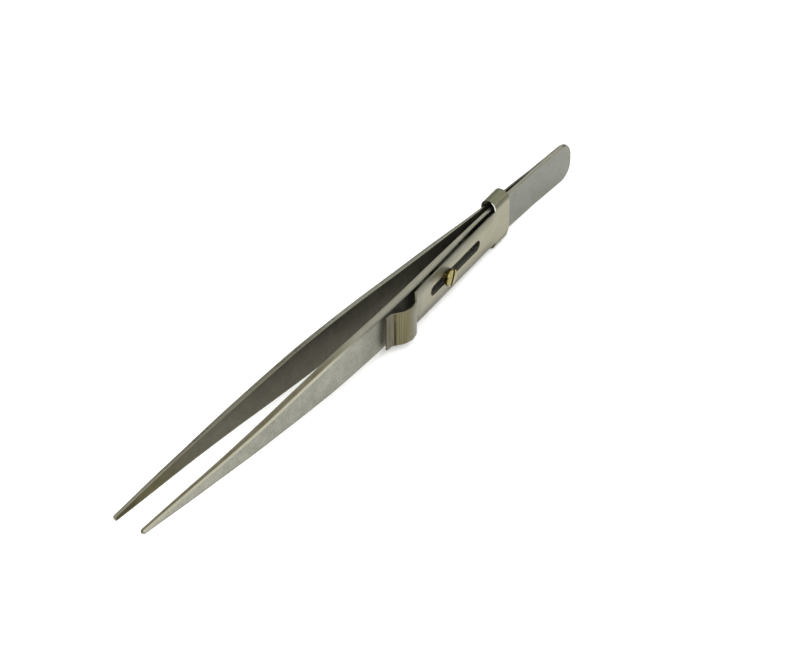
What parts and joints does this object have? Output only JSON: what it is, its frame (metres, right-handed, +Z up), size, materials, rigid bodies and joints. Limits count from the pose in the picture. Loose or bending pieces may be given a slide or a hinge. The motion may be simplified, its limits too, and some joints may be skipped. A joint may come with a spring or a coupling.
{
  "type": "slide-lock tweezers",
  "caption": "Fine-pointed spring-steel tweezers with a bent sheet-metal slide that runs on a brass screw and locks the arms shut.",
  "frame": {"origin": "under the middle of the whole object, at the height of its lowest point, the loop's lower bend", "axes": "+X along the tweezers towards the points, +Y towards the side that carries the slide, +Z up across the arms' width"},
  "size_m": [0.165, 0.0132, 0.0135],
  "materials": {
    "satin_steel": "satin, finely blasted faces with bright ground edges",
    "slide_steel": "satin, slightly warm, brushed across at the finger tab",
    "brass": "turned and polished"
  },
  "bodies": {
    "tail": {"welded_tail": "satin_steel"},
    "front_arm": {"front_arm": "satin_steel", "guide_screw": "brass"},
    "rear_arm": {"rear_arm": "satin_steel"},
    "slide": {"lock_slide": "slide_steel"}
  },
  "joints": [
    {"name": "front_arm_flex", "type": "hinge", "parent": "tail", "child": "front_arm", "pos_m": [-0.0645, -0.00134, 0.00675], "axis": [0, 0, 1], "range_deg": [-1.3, 1], "stiffness_Nm_per_rad": 3.4, "springref_deg": 1},
    {"name": "rear_arm_flex", "type": "hinge", "parent": "tail", "child": "rear_arm", "pos_m": [-0.0645, -0.00134, 0.00675], "axis": [0, 0, 1], "range_deg": [-1, 1.3], "stiffness_Nm_per_rad": 3.4, "springref_deg": -1},
    {"name": "lock_slide_travel", "type": "slide", "parent": "front_arm", "child": "slide", "axis": [0.9988, 0.0499, 0], "range_m": [-0.006, 0.008]}
  ],
  "couplings": [
    {"joint": "front_arm_flex", "follows": "lock_slide_travel", "rad_per_m": -2.823},
    {"joint": "rear_arm_flex", "follows": "lock_slide_travel", "rad_per_m": 2.823}
  ]
}
